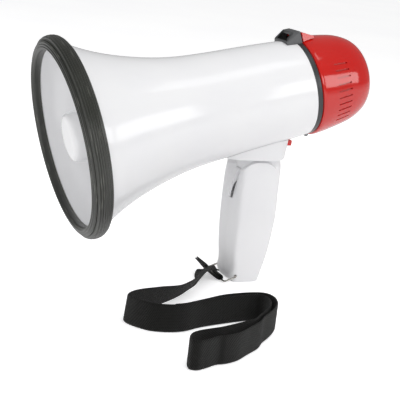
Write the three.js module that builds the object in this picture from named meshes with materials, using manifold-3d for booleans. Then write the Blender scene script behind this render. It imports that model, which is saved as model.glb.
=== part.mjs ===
// Handheld megaphone: re-entrant horn on a pitched axis over an upright two-shell grip, hinged rear
// cover with batteries behind it, talk trigger, siren button, volume knob and a wrist strap.
// Millimetres, +Z up, +X towards the bell, +Y left. Origin: on the grip's flat foot, on the plane
// of symmetry. Horn pieces use the horn frame: axis along X, bell front at x = 0.
import * as THREE from 'three';
import { mergeVertices } from 'three/addons/utils/BufferGeometryUtils.js';
import Module from 'manifold-3d';

const wasm = await Module();
wasm.setup();

// ---------- driving dimensions ----------
const TILT = 0.24783;                    // horn axis pitched bell-down, radians
const HORN_POSITION = [171.64, 0, 119.85];
const HORN_REAR = -214.3;                // rear edge of the horn body, horn x
const GAP = 0.3;                         // clearance between fitted pieces
const GRIP_GAP = GAP + 0.05;             // clearance round the grip's saddle and foot notch
const FACETS = 32;                       // facets round the horn
const AXIS_R = 0.001;                    // stands for zero radius in closed profiles
const GRIP_H = 111;                      // foot to saddle underside
const SPLIT = 0.12;                      // half the parting gap of the grip shells
const SHANK_R = 1.4;                     // all screws
const COVER_FRONT = -219.2;              // front edge of the rear cover, horn x
const HINGE = [COVER_FRONT, -43.0];      // cover hinge, horn x and z
const TRIGGER_PIVOT = [5.5, 96.0];       // x and z
const BAIL_PIVOT = [7.9, 6.0];           // x and z
const CROSSBAR = [19.0, 1.7];            // bail crossbar, x and z
const STRAP_W = 22.2;                    // webbing width
const STRAP_T = 1.3;                     // webbing thickness
const SADDLE_SCREWS = [[-163, 10.5], [-163, -10.5], [-182, 9.0], [-182, -9.0]]; // horn x, y
const GRIP_SCREWS = [[-16.5, 92], [-7, 50], [-6, 15]];                          // x, z
const THROAT_ANGLES = [90, 210, 330];    // degrees round the axis, for screws and fins
const THROAT_SCREWS = THROAT_ANGLES.map((angle) => {                            // y, z
  const turn = angle * Math.PI / 180;
  return [35 * Math.cos(turn), 35 * Math.sin(turn)];
});

// horn outer profile: [x, radius], bell to rear
const HORN_PROFILE = [
  [-3, 76.0], [-15.9, 76.0], [-20, 74.5], [-28, 70.3], [-38, 65.7], [-58, 58.3], [-83, 51.6],
  [-113, 46.9], [-148, 45.0], [-183, 43.7], [-205, 42.5], [HORN_REAR, 41.8],
];

// ---------- geometry to solid and back ----------
// welds vertices, drops collapsed triangles and turns the surface outwards
function solid(source) {
  const bare = source.clone();
  bare.deleteAttribute('normal');
  bare.deleteAttribute('uv');
  const merged = mergeVertices(bare, 1e-4);
  const position = merged.attributes.position;
  const index = merged.index.array;
  const triangles = [];
  const corners = [0, 1, 2].map(() => new THREE.Vector3());
  let volume = 0;
  for (let i = 0; i < index.length; i += 3) {
    const ids = [index[i], index[i + 1], index[i + 2]];
    if (new Set(ids).size < 3) continue;
    corners.forEach((corner, k) => corner.fromBufferAttribute(position, ids[k]));
    volume += corners[0].dot(corners[1].cross(corners[2]));
    triangles.push(...(ids));
  }
  if (volume < 0) {
    for (let i = 0; i < triangles.length; i += 3) {
      [triangles[i], triangles[i + 1]] = [triangles[i + 1], triangles[i]];
    }
  }
  return new wasm.Manifold(new wasm.Mesh({
    numProp: 3,
    vertProperties: new Float32Array(position.array),
    triVerts: new Uint32Array(triangles),
  }));
}

function toGeometry(shape) {
  const mesh = shape.getMesh();
  const positions = new Float32Array(mesh.vertProperties);
  const geometry = new THREE.BufferGeometry();
  geometry.setAttribute('position', new THREE.BufferAttribute(positions, 3));
  geometry.setIndex(new THREE.BufferAttribute(new Uint32Array(mesh.triVerts), 1));
  geometry.computeVertexNormals();
  return geometry;
}

// ---------- shape helpers; ranges are [from, to] ----------
const join = (...shapes) => shapes.reduce((whole, shape) => whole.add(shape));
const cut = (base, ...tools) => tools.reduce((whole, tool) => whole.subtract(tool), base);
const across = (half) => [-half, half];
const spanOn = (side, near, far) => (side > 0 ? [near, far] : [-far, -near]);

// profile of [x, radius] turned about X
function lathe(profile, segments = FACETS) {
  const points = profile.map(([x, radius]) => new THREE.Vector2(radius, x));
  return new THREE.LatheGeometry(points, segments).rotateZ(-Math.PI / 2);
}
const closed = (points) => [...points, points[0]];
const revolve = (profile, segments) => solid(lathe(profile, segments)); // ends on the axis
const revolveRing = (profile, segments) => solid(lathe(closed(profile), segments));
const washer = ([x0, x1], [inner, outer]) => revolveRing(
  [[x0, inner], [x0, outer], [x1, outer], [x1, inner]],
);

function boxGeometry(...ranges) {
  const size = ranges.map(([from, to]) => to - from);
  const centre = ranges.map(([from, to]) => (from + to) / 2);
  return new THREE.BoxGeometry(...size).translate(...centre);
}
const box = (...ranges) => solid(boxGeometry(...ranges));

function rod(radius, from, to, segments) {
  const start = new THREE.Vector3(...from);
  const end = new THREE.Vector3(...to);
  const axis = end.clone().sub(start);
  const geometry = new THREE.CylinderGeometry(radius, radius, axis.length(), segments, 1);
  const up = new THREE.Vector3(0, 1, 0);
  geometry.applyQuaternion(new THREE.Quaternion().setFromUnitVectors(up, axis.normalize()));
  const centre = start.add(end).multiplyScalar(0.5);
  return solid(geometry.translate(centre.x, centre.y, centre.z));
}
const rodX = (radius, [x0, x1], [y, z], segments) => rod(radius, [x0, y, z], [x1, y, z], segments);
const rodY = (radius, [y0, y1], [x, z], segments) => rod(radius, [x, y0, z], [x, y1, z], segments);
const rodZ = (radius, [z0, z1], [x, y], segments) => rod(radius, [x, y, z0], [x, y, z1], segments);

function extrude(outline, depth) {
  const shape = new THREE.Shape(outline.map(([u, v]) => new THREE.Vector2(u, v)));
  return new THREE.ExtrudeGeometry(shape, { depth, bevelEnabled: false });
}
// outline of [x, z], extruded across Y
const slab = (outline, [y0, y1]) => solid(
  extrude(outline, y1 - y0).rotateX(Math.PI / 2).translate(0, y1, 0),
);
// outline of [x, y], extruded upwards
const plate = (outline, [z0, z1]) => solid(extrude(outline, z1 - z0).translate(0, 0, z0));

// round wire along a smooth curve through the points
function tube(points, radius, steps, segments) {
  const path = points.map((point) => new THREE.Vector3(...point));
  const extrudePath = new THREE.CatmullRomCurve3(path, false, 'centripetal');
  const section = new THREE.Shape();
  section.moveTo(radius, 0);
  for (let i = 1; i < segments; i++) {
    const angle = 2 * Math.PI * i / segments;
    section.lineTo(radius * Math.cos(angle), radius * Math.sin(angle));
  }
  section.closePath();
  return solid(new THREE.ExtrudeGeometry(section, { steps, bevelEnabled: false, extrudePath }));
}

// coil spring along X
function coil({ from, to, y, z, radius, wire, turns, perTurn }) {
  const direction = Math.sign(to - from);
  const travel = Math.abs(to - from) - 2 * wire;
  const steps = turns * perTurn;
  const points = [];
  for (let i = 0; i <= steps; i++) {
    const angle = 2 * Math.PI * i / perTurn;
    points.push([
      from + direction * (wire + travel * i / steps),
      y + direction * radius * Math.cos(angle),
      z + radius * Math.sin(angle),
    ]);
  }
  return tube(points, wire, steps, 4);
}

// rounded section lofted upwards through rows of [z, xRear, xFront, halfWidth, xWidest];
// the front is squarer than the back
const FRONT_POWER = 6;
const REAR_POWER = 4;
function loft(rows) {
  const geometry = new THREE.CylinderGeometry(1, 1, 1, 20, rows.length - 1);
  const position = geometry.attributes.position;
  for (let i = 0; i < position.count; i++) {
    const row = Math.round((position.getY(i) + 0.5) * (rows.length - 1));
    const [z, xRear, xFront, halfWidth, xWidest] = rows[row];
    const radius = Math.hypot(position.getX(i), position.getZ(i));
    if (radius < 1e-6) {
      position.setXYZ(i, xWidest, 0, z);
      continue;
    }
    const cos = position.getX(i) / radius;
    const sin = position.getZ(i) / radius;
    const power = cos > 0 ? FRONT_POWER : REAR_POWER;
    const scale = Math.pow(Math.abs(cos) ** power + Math.abs(sin) ** power, -1 / power);
    const reach = cos > 0 ? xFront - xWidest : xWidest - xRear;
    position.setXYZ(i, xWidest + reach * cos * scale, halfWidth * sin * scale, z);
  }
  return solid(geometry);
}

// a horn-frame point in the grip's frame
const HORN_MATRIX = new THREE.Matrix4().makeRotationY(TILT).setPosition(...HORN_POSITION);
const fromHorn = (...point) => new THREE.Vector3(...point).applyMatrix4(HORN_MATRIX).toArray();

// ---------- horn shell and rim ----------
const HORN_BORE = [ // [x, radius], rear to bell, with the inward flange at x = -120
  [HORN_REAR, 39.3], [-183, 41.2], [-148, 42.5], [-121.0, 43.2], [-121.0, 31.0],
  [-118.2, 31.0], [-118.2, 43.8], [-83, 49.1], [-58, 55.8], [-38, 63.2], [-20, 72.0],
  [-15, 73.3], [-7.5, 73.6], [-7.5, 74.1], [-3, 74.1],
];
const RIM_PROFILE = [ // [x, radius]
  [-15.6, 76.35], [-15.6, 78.8], [-14.3, 81.3], [-11.8, 83.0], [-8.4, 83.6], [-5.2, 83.2],
  [-2.9, 82.0], [-1.5, 80.1], [-0.5, 77.8], [0, 75.6], [-0.5, 74.1], [-1.8, 73.0],
  [-7.0, 73.1], [-7.0, 73.75], [-2.65, 73.75], [-2.65, 76.35],
];
const throatHoles = (range) => THROAT_SCREWS.map((place) => rodX(1.7, range, place, 12));

function hornBody() {
  return cut(
    revolveRing([...HORN_PROFILE, ...HORN_BORE]),
    ...throatHoles([-122, -117]),
    ...SADDLE_SCREWS.map((place) => rodZ(1.8, [-48, -36], place, 12)),
    rodZ(3.0, [-48, -38], [-166, 0], 12), // cable hole
  );
}

// ---------- reflector, throat and compression driver ----------
// profiles are [x, radius]
const REFLECTOR_PROFILE = [
  [-5.8, 0], [-5.8, 16.9], [-6.5, 18.8], [-8.2, 20.1], [-36, 23.8], [-62, 28],
  [-62, 26.2], [-36, 21.9], [-9.8, 18.3], [-8.1, 16.5], [-8.1, 0],
];
const THROAT_PROFILE = [
  [-34, 9.4], [-34, 10.9], [-78, 11.4], [-118, 12.6], [-121.3, 14.5], [-121.3, 39.0],
  [-123.7, 39.0], [-123.7, 30.0], [-128.9, 30.0], [-128.9, 22.2], [-123.7, 22.2], [-123.7, 7.2],
];
const DIAPHRAGM_PROFILE = [
  [-124.6, 0], [-127.3, 8.5], [-129.2, 12], [-128.7, 15.5], [-129.2, 27], [-129.7, 27],
  [-129.2, 15.5], [-129.7, 12.9], [-134.5, 12.9], [-134.5, 12.2], [-129.8, 12.2],
  [-127.8, 8.3], [-125.1, 0],
];
const YOKE_PROFILE = [[-131, 0], [-131, 11.6], [-144.7, 11.6], [-144.7, 31], [-148.6, 31], [-148.6, 0]];

function throatTube() {
  const fins = THROAT_ANGLES.map((angle) => solid(
    boxGeometry([-58, -40], across(0.9), [10.4, 21.6]).rotateX((angle - 90) * Math.PI / 180),
  ));
  return cut(join(revolveRing(THROAT_PROFILE, 28), ...fins), ...throatHoles([-125, -120]));
}

const throatScrew = (place) => join(
  rodX(2.6, [-125.9, -124.0], place, 12),
  rodX(SHANK_R, [-124.2, -118.5], place, 12),
);

// ---------- amplifier board ----------
function ampBoard() {
  const board = join(
    washer([-150.4, -152], [1.5, 36]),
    rodX(5, [-151.5, -158], [18, 10], 14),
    rodX(4, [-151.5, -157.6], [-16, 14], 14),
    box([-156.5, -151.5], [-12, -2], [-14, 2]),
    box([-157.5, -151.5], [6, 22], [-20, -14]),
    box([-155, -151.5], [-26, -16], [-16, -8]),
  );
  return cut(board, box([-153, -149], across(4), [-40, -30])); // cable notch
}

// ---------- batteries ----------
const CELL_R = 13.1;          // size C cell
const CELL_L = 49.0;          // over the nub
const CELL_OFFSET = 13.7;     // cell centre from the axis, in Y and Z
const NUB_R = 3.2;
const NUB_L = 1.4;
const NUB_OVERLAP = 0.2;      // nub sunk into the cell body
const HOLDER_R = 34;
const HOLDER_BACK = -218.2;   // front face of the rear disc
const CONTACT_X = -161.75;    // foremost reach of cells and springs
const CELLS = [               // side in Y, side in Z, nub forwards
  [1, 1, false], [-1, 1, true], [-1, -1, false], [1, -1, true],
];

function batteryHolder() {
  const holder = join(
    washer([-159.4, -161.4], [AXIS_R, HOLDER_R]),
    rodX(5.0, [-160, -220], [0, 0], 16),
    rodX(HOLDER_R, [HOLDER_BACK, -220.6], [0, 0], 32),
  );
  return cut(holder, box([-222, -158], across(4), [-35, -29]));
}

const cellFront = (nubForward) => (nubForward ? CONTACT_X : -167.3);
const cellPlace = ([sideY, sideZ]) => [sideY * CELL_OFFSET, sideZ * CELL_OFFSET];

function batteryCell(cell) {
  const nubForward = cell[2];
  const place = cellPlace(cell);
  const front = cellFront(nubForward);
  const back = front - CELL_L;
  if (nubForward) {
    return join(
      rodX(NUB_R, [front, front - NUB_L - NUB_OVERLAP], place, 16),
      rodX(CELL_R, [front - NUB_L, back], place, 28),
    );
  }
  return join(
    rodX(CELL_R, [front, back + NUB_L], place, 28),
    rodX(NUB_R, [back + NUB_L + NUB_OVERLAP, back], place, 16),
  );
}

// presses on the flat end of its cell
function batterySpring(cell) {
  const nubForward = cell[2];
  const front = cellFront(nubForward);
  const [y, z] = cellPlace(cell);
  const from = nubForward ? front - CELL_L - GAP : CONTACT_X;
  const to = nubForward ? HOLDER_BACK + GAP : front + GAP;
  return coil({ from, to, y, z, radius: 4.2, wire: 0.45, turns: 2, perTurn: 10 });
}

// ---------- cover hinge ----------
const KNUCKLE_R = 1.5;
const POCKET_R = 1.9;               // room round a knuckle
const COVER_KNUCKLE = 1.8;          // half width of the cover's middle knuckle
const RING_KNUCKLE = COVER_KNUCKLE + GAP; // inner face of the ring's outer knuckles
const hingeRod = (radius, range) => rodY(radius, range, HINGE, 16);
const hingeBore = () => hingeRod(0.75, across(13));

// ---------- rear ring with the latch keeper ----------
const RING_PROFILE = [ // [x, radius]
  [-209, 37.0], [-209, 38.9], [-214.6, 38.9], [-214.6, 41.8], [-218.8, 41.8], [-218.8, 37.0],
];
const KEEPER_OUTLINE = [[-204.6, 41], [-204.6, 43.6], [-212.6, 50.1], [-218.8, 50.1], [-218.8, 40]];
const KNUCKLE_ROOT = [ // x, z
  [-218.7, -40.6], [-215.4, -40.6], [-215.4, -42.4], [-217.4, -44.1], [-218.7, -44.4],
];

function latchKeeper() {
  const bodyRoom = revolveRing([
    [-196, AXIS_R], [-196, 43.3], [-205, 42.85], [-214.45, 42.12], [-214.45, AXIS_R],
  ]);
  // sides lean in towards the top
  const flanks = [1, -1].map((side) => solid(
    boxGeometry([-226, -200], across(6), across(14))
      .rotateX(side * 0.26).translate(0, side * 17.1, 46.5),
  ));
  const ringBore = washer([-214.4, -219], [AXIS_R, 41.0]);
  return cut(slab(KEEPER_OUTLINE, across(12)), bodyRoom, ringBore, ...flanks);
}

function rearRing() {
  const slopeRecess = solid(
    boxGeometry(across(4), across(7.4), across(2.9)).rotateY(-0.89).translate(-207.6, 0, 46.4),
  );
  const tongueSlot = box([-219.5, -208.5], across(4.6), [44.9, 48.4]);
  let ring = cut(join(revolveRing(RING_PROFILE), latchKeeper()), slopeRecess, tongueSlot);
  for (const side of [1, -1]) {
    const range = spanOn(side, RING_KNUCKLE, 4.2);
    ring = join(ring, hingeRod(KNUCKLE_R, range), slab(KNUCKLE_ROOT, range));
  }
  return cut(ring, hingeBore(), hingeRod(POCKET_R, across(RING_KNUCKLE)));
}

// ---------- rear cover and its latch ----------
const MIC_PLACE = [0, 9.5];   // y, z
const KNOB_PLACE = [0, -13.5];
const COVER_PROFILE = [       // [x, radius]
  [-277, 0], [-277, 21], [-276, 24], [-273, 28], [-268, 32.5], [-262, 35.8], [-255, 38.5],
  [-240, 41.2], [-222, 43.2], [COVER_FRONT, 42.3], [COVER_FRONT, 40.2], [-240, 39.0],
  [-262, 33.4], [-271.5, 26.6], [-274.8, 21.5], [-274.8, 0],
];
const LATCH_OUTLINE = [       // x, z
  [-219.5, 40], [-219.5, 48.8], [-221.3, 48.6], [-224.5, 46.9], [-228.0, 45.0],
  [-231.0, 44.1], [-231.4, 40],
];
const GROOVES = { count: 10, first: 58.5, step: 8.1 }; // per side, degrees from the top

function rearCover() {
  let cover = join(revolve(COVER_PROFILE), hingeRod(KNUCKLE_R, across(COVER_KNUCKLE)));
  const pockets = [1, -1].map((side) => hingeRod(POCKET_R, spanOn(side, COVER_KNUCKLE, 4.5)));
  cover = cut(cover, hingeBore(), ...pockets);
  for (const side of [1, -1]) {
    for (let i = 0; i < GROOVES.count; i++) {
      const angle = -side * (GROOVES.first + i * GROOVES.step) * Math.PI / 180;
      const groove = boxGeometry([-248.5, -234.5], across(0.75), [30, 46]).rotateX(angle);
      cover = cut(cover, solid(groove));
    }
  }
  return cut(
    cover,
    rodX(8.9, [-280, -270], MIC_PLACE, 28),
    rodX(3.6, [-280, -270], KNOB_PLACE, 20),
    box([-230.0, -221.0], across(4.1), [38, 46]), // latch slot
  );
}

// thumb latch that slides rearwards on the cover; its tongue enters the keeper
function coverLatch() {
  // sides lean in towards the top and the rear
  const flanks = [1, -1].map((side) => solid(
    boxGeometry(across(14), across(9), across(14))
      .rotateX(side * 0.22).rotateZ(side * 0.22).translate(-225.2, side * 20.4, 46),
  ));
  const thumbScoop = solid(new THREE.SphereGeometry(12, 28, 16).translate(-228.6, 0, 56.5));
  const coverRoom = washer([-216, -240], [AXIS_R, 43.6]);
  const slider = box([-226.0, -221.4], across(3.7), [38.4, 44.6]);
  const tongue = box([-220.2, -213.4], across(4.1), [45.5, 47.8]);
  const body = cut(slab(LATCH_OUTLINE, across(14.5)), ...flanks, thumbScoop, coverRoom);
  return join(body, slider, tongue);
}

// ---------- microphone and volume control in the cover ----------
const GRILLE_RINGS = [[0, 1], [3.2, 5], [6.3, 9]]; // ring radius, number of holes
const KNOB_PROFILE = [                             // [x, radius], with the shaft
  [-281.8, 0], [-281.8, 6.4], [-281.1, 7.2], [-277.4, 7.6], [-277.4, 2.9], [-268.5, 2.9],
  [-268.5, 0],
];

function micGrille() {
  let grille = rodX(8.6, [-276.8, -275.2], MIC_PLACE, 28);
  for (const [radius, count] of GRILLE_RINGS) {
    for (let i = 0; i < count; i++) {
      const angle = 2 * Math.PI * i / count;
      const place = [radius * Math.cos(angle), MIC_PLACE[1] + radius * Math.sin(angle)];
      grille = cut(grille, rodX(0.85, [-278, -274], place, 6));
    }
  }
  return grille;
}

const micCapsule = () => join(
  rodX(4.9, [-274.4, -269.4], MIC_PLACE, 20),
  rodX(3.6, [-269.8, -268.6], MIC_PLACE, 14),
);

function volumeKnob() {
  const pointerGroove = box([-282.6, -280.6], across(0.6), [2.5, 8]);
  return cut(revolve(KNOB_PROFILE, 24), pointerGroove).translate([0, ...KNOB_PLACE]);
}

function potentiometer() {
  const body = rodX(7.6, [-273.2, -266.5], KNOB_PLACE, 24);
  const terminals = box([-273.2, -266.5], across(4.5), [KNOB_PLACE[1], -4.2]);
  return cut(join(body, terminals), rodX(3.15, [-275, -268.1], KNOB_PLACE, 20));
}

// ---------- grip shells ----------
// rows of [z, xRear, xFront, halfWidth, xWidest]
const GRIP_OUTER = [
  [0, -16.4, 9.3, 16.4, -3],
  [1.2, -17.6, 10.3, 17.4, -3],
  [16.5, -21.5, 10.7, 18.3, -3.5],
  [28, -23.9, 12.1, 18.8, -4],
  [44, -25.9, 13.3, 19.5, -4],
  [62, -27.2, 13.8, 20.0, -4],
  [78, -26.8, 13.7, 20.0, -4],
  [90, -26.6, 11.5, 19.6, -4],
  [101, -26.3, 7.8, 17.6, -4],
  [GRIP_H + 1, -26.1, 7.4, 17.4, -4],
];
const GRIP_INNER = [
  [2.6, -13.9, 7.8, 14.9, -3],
  [16.5, -18.7, 8.2, 15.8, -3.5],
  [44, -23.5, 10.8, 17.0, -4],
  [78, -24.4, 11.2, 17.5, -4],
  [101, -23.3, 5.3, 15.1, -4],
  [124, -23.0, 4.9, 14.9, -4],
];
const SADDLE_NOSE = [ // x, y
  [10, -23.0], [22, -20.6], [30, -15.2], [34.2, -7.0], [34.8, 0], [34.2, 7.0], [30, 15.2],
  [22, 20.6], [10, 23.0],
];
const SADDLE_REAR = { centre: -8, length: 23.8, halfWidth: 23.2 }; // half ellipse in plan
const TRIGGER_SLOT = 5.2;   // half width
const SIREN_HALF = 6.0;     // half width of the siren button
const FOOT_TONGUE = { x: [-9, 3], right: -3.0, left: 1.0, top: 1.4 };

function saddleBlock() {
  const outline = [];
  for (let i = 0; i <= 12; i++) {
    const angle = Math.PI / 2 + Math.PI * i / 12;
    const x = SADDLE_REAR.centre + SADDLE_REAR.length * Math.cos(angle);
    outline.push([x, SADDLE_REAR.halfWidth * Math.sin(angle)]);
  }
  return plate([...outline, ...SADDLE_NOSE], [GRIP_H, 140]);
}

// the horn body with clearance, for hollowing the saddle
function hornClearance() {
  const profile = HORN_PROFILE.filter(([x]) => x < -90).map(([x, radius]) => [x, radius + GRIP_GAP]);
  const outline = closed([[-100, AXIS_R], ...profile, [HORN_REAR, AXIS_R]]);
  return solid(lathe(outline).applyMatrix4(HORN_MATRIX));
}

// rod under the horn body, square to its axis
const saddleRod = (radius, [z0, z1], [x, y], segments) => rod(
  radius, fromHorn(x, y, z0), fromHorn(x, y, z1), segments,
);

function gripBosses(outer, envelope) {
  const triggerBoss = rodY(3.6, across(18), TRIGGER_PIVOT, 16).intersect(outer);
  return [
    ...SADDLE_SCREWS.map((place) => saddleRod(3.4, [-40, -57], place, 14).intersect(envelope)),
    ...GRIP_SCREWS.map((place) => rodY(3.4, across(19), place, 16).intersect(outer)),
    cut(triggerBoss, box([-10, 30], across(TRIGGER_SLOT), [70, 110])),
  ];
}

const gripOpenings = () => [
  hornClearance(),
  box([2.0, 30], across(TRIGGER_SLOT), [73.2, 101.3]),
  box([-36.5, -21], across(SIREN_HALF + GAP), [118.6, 132]),
  ...SADDLE_SCREWS.map((place) => saddleRod(1.65, [-38, -55.6], place, 12)),
  rodY(1.4, across(9.2), TRIGGER_PIVOT, 14),
  rodY(1.2, across(20), BAIL_PIVOT, 12),
  ...GRIP_SCREWS.flatMap((place) => [
    rodY(3.0, [-21, -12.0], place, 14),
    rodY(1.65, [-13, 10.4], place, 12),
  ]),
];

function wholeGrip() {
  const outer = loft(GRIP_OUTER);
  const saddle = saddleBlock();
  const hollowSaddle = cut(saddle, box([-22.5, 4.5], across(6.6), [100, 140]));
  const shell = join(cut(outer, loft(GRIP_INNER)), hollowSaddle);
  return cut(join(shell, ...gripBosses(outer, outer.add(saddle))), ...gripOpenings());
}

// largest connected piece of the grip on one side of the parting gap
function gripHalf(grip, side) {
  const half = grip.intersect(box(across(60), spanOn(side, SPLIT, 40), [-5, 160]));
  return half.decompose().sort((one, other) => other.volume() - one.volume())[0];
}

// a locating tongue on the left shell's foot laps into a notch in the right one
function leftShell(grip) {
  const { x, right, left, top } = FOOT_TONGUE;
  return join(gripHalf(grip, 1), box(x, [right, left], [0, top]));
}

function rightShell(grip) {
  const { x: [rear, front], right, left, top } = FOOT_TONGUE;
  const lengthRange = [rear - GRIP_GAP, front + GRIP_GAP];
  const notch = box(lengthRange, [right - GRIP_GAP, left], [-1, top + GRIP_GAP]);
  return cut(gripHalf(grip, -1), notch);
}

const gripScrew = (place) => join(
  rodY(2.7, [-13.9, -12.2], place, 14),
  rodY(SHANK_R, [-12.4, 9.8], place, 12),
);
const saddleScrew = (place) => join(
  rodZ(2.8, [-39.2, -37.3], place, 14),
  rodZ(SHANK_R, [-39.0, -54.8], place, 12),
);

// ---------- trigger, siren button and switch cable ----------
const LEVER_OUTLINE = [ // x, z
  [5.0, 99.4], [8.0, 100.2], [10.6, 99.2], [13.2, 95.2], [15.4, 90.5], [16.9, 84.5],
  [17.9, 78.6], [18.2, 75.9], [17.4, 75.0], [15.9, 75.2], [15.5, 78.8], [14.5, 84.5],
  [12.2, 89.0], [8.8, 90.4], [5.0, 89.2], [2.4, 87.6], [1.4, 88.6], [2.4, 91.6],
  [2.6, 94.5], [3.2, 97.5],
];
const SIREN_OUTLINE = [ // x, z
  [-36.4, 121.6], [-36.9, 125.8], [-35.8, 126.7], [-26.0, 124.2], [-26.0, 119.2],
  [-28.0, 119.2], [-28.0, 121.6],
];
const TRIGGER_SPRING = {
  from: -0.9, to: 14.4, y: 0, z: 80, radius: 2.4, wire: 0.35, turns: 5, perTurn: 8,
};

const trigger = () => cut(
  slab(LEVER_OUTLINE, across(4.6)),
  rodY(1.4, across(8), TRIGGER_PIVOT, 14),
);
const triggerSwitch = () => join(
  box([-9.5, -1.2], across(6), [77, 90]),
  box([-1.4, 0.2], across(1.6), [84.6, 88.2]),
);
const sirenButton = () => join(
  slab(SIREN_OUTLINE, across(SIREN_HALF)),
  box([-26.2, -17.5], across(3.4), [119.2, 121.6]),
);

// from the amplifier board down through the saddle into the grip
function switchCable() {
  const inHorn = [ // horn x, z
    [-155.4, -27], [-155.8, -33], [-159.5, -37.9], [-164.4, -39.2], [-166, -43.5], [-166.4, -49],
  ];
  const inGrip = [[-3.4, 0, 103], [-5, 0, 97], [-5.2, 0, 91.8]];
  return tube([...inHorn.map(([x, z]) => fromHorn(x, 0, z)), ...inGrip], 1.1, 20, 6);
}

// ---------- bail and strap ----------
const BAIL_HALF = 19.2;  // half width of the bail arms
const LOOP_OUTLINE = [   // x, z
  [16.4, 0.8], [17.4, 0.3], [19.0, 0.2], [21.1, 0.4], [22.5, 1.3], [22.9, 2.6], [21.9, 3.9],
  [19.7, 4.2], [17.3, 3.9], [16.2, 2.6],
];
const STRAP_BOTTOM = 0.3;
const STRAP_LINE = [     // x, y of the webbing's centre line: out, back as a loop, and again
  [27.0, 0.5], [36, 9], [47, 22], [62, 36], [76, 49], [92, 61], [108, 71], [124, 81],
  [135, 90], [139.6, 97],
  [138, 104.5], [133, 112.5], [126.3, 119.2], [114, 123.6], [101, 123.4], [84.1, 117.1],
  [60, 111.4], [37.4, 108.0], [30.5, 108.6], [27.4, 113.5], [28.2, 121.5], [32.7, 130.4],
  [40.4, 139.9], [51.3, 150.2], [59.6, 158.2], [69.9, 162.6], [91.6, 170.6], [111.9, 175.4],
  [119.5, 179.6],
  [123.6, 186.2], [124.4, 192.0], [120.2, 194.4], [113, 192.3], [101.3, 187.2], [95.8, 187.0],
  [84.6, 183.4], [70.9, 173.6], [56.7, 162.9], [49.8, 154.6], [38, 143.6], [30.2, 135.0],
  [23.6, 124.6], [21.2, 113.8], [24.4, 105.6], [34.1, 103.0], [62.6, 104.9], [83.8, 110.1],
  [103, 116.6],
];

function strapBail() {
  const [pivotX, pivotZ] = BAIL_PIVOT;
  const [barX, barZ] = CROSSBAR;
  const leftArm = [
    [pivotX, 15.6, pivotZ],
    [pivotX, 18.2, pivotZ],
    [pivotX + 0.7, BAIL_HALF + 0.2, pivotZ - 0.3],
    [pivotX + 2.4, BAIL_HALF + 0.3, pivotZ - 1.1],
    [(pivotX + barX) / 2, BAIL_HALF + 0.2, (pivotZ + barZ) / 2],
    [barX - 1.5, BAIL_HALF - 0.1, barZ + 0.8],
    [barX - 0.1, BAIL_HALF - 1.4, barZ + 0.1],
    [barX, BAIL_HALF - 3.4, barZ],
    [barX, 8, barZ],
  ];
  const rightArm = leftArm.map(([x, y, z]) => [x, -y, z]).reverse();
  return tube([...leftArm, [barX, 0, barZ], ...rightArm], 0.85, 44, 6);
}

// webbing folded round the crossbar
const strapEndLoop = () => cut(
  slab(LOOP_OUTLINE, across(STRAP_W / 2)),
  rodY(1.35, across(12), CROSSBAR, 12),
);

// flat webbing standing on edge
function wristStrap() {
  const curve = new THREE.SplineCurve(STRAP_LINE.map(([x, y]) => new THREE.Vector2(x, y)));
  const steps = Math.round(curve.getLength() / 9);
  const left = [];
  const right = [];
  for (let i = 0; i <= steps; i++) {
    const { x, y } = curve.getPointAt(i / steps);
    const tangent = curve.getTangentAt(i / steps);
    const offsetX = tangent.y * STRAP_T / 2;
    const offsetY = tangent.x * STRAP_T / 2;
    left.push([x - offsetX, y + offsetY]);
    right.push([x + offsetX, y - offsetY]);
  }
  return plate([...left, ...right.reverse()], [STRAP_BOTTOM, STRAP_BOTTOM + STRAP_W]);
}

// ---------- assembly ----------
const MATERIALS = {
  white: { color: 0xf1f1f3, roughness: 0.28, metalness: 0 },
  rubber: { color: 0x2b2c2e, roughness: 0.62, metalness: 0 },
  black: { color: 0x1c1d1e, roughness: 0.42, metalness: 0 },
  red: { color: 0xc7271f, roughness: 0.24, metalness: 0 },
  steel: { color: 0xb9bbbd, roughness: 0.3, metalness: 1 },
  ferrite: { color: 0x2c2c30, roughness: 0.7, metalness: 0 },
  film: { color: 0xc9a86a, roughness: 0.4, metalness: 0 },
  board: { color: 0x1f6a3c, roughness: 0.5, metalness: 0 },
  webbing: { color: 0x17181a, roughness: 0.9, metalness: 0 },
  cell: { color: 0x3f4348, roughness: 0.35, metalness: 0.3 },
};

function put(parent, name, shape, material) {
  const look = new THREE.MeshStandardMaterial(MATERIALS[material]);
  const mesh = new THREE.Mesh(toGeometry(shape), look);
  mesh.name = name;
  parent.add(mesh);
}
const putEach = (parent, name, places, build, material) => places.forEach(
  (place, i) => put(parent, `${name}_${i + 1}`, build(place), material),
);

const megaphone = new THREE.Group();
const horn = new THREE.Group();
horn.rotation.y = TILT;
horn.position.set(...HORN_POSITION);
megaphone.add(horn);

put(horn, 'horn_body', hornBody(), 'white');
put(horn, 'rim_bumper', revolveRing(RIM_PROFILE), 'rubber');
put(horn, 'reflector_cup', revolve(REFLECTOR_PROFILE, 30), 'white');
put(horn, 'throat_tube', throatTube(), 'white');
putEach(horn, 'throat_screw', THROAT_SCREWS, throatScrew, 'steel');
put(horn, 'diaphragm', revolve(DIAPHRAGM_PROFILE, 24), 'film');
put(horn, 'driver_top_plate', washer([-130.1, -134.1], [13.6, 31]), 'steel');
put(horn, 'driver_magnet', washer([-134.4, -144.4], [16, 33]), 'ferrite');
put(horn, 'driver_yoke', revolve(YOKE_PROFILE), 'steel');
put(horn, 'amp_board', ampBoard(), 'board');
put(horn, 'battery_holder', batteryHolder(), 'black');
CELLS.forEach((cell, i) => {
  put(horn, `battery_cell_${i + 1}`, batteryCell(cell), 'cell');
  put(horn, `battery_spring_${i + 1}`, batterySpring(cell), 'steel');
});
put(horn, 'rear_ring', rearRing(), 'black');
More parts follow.
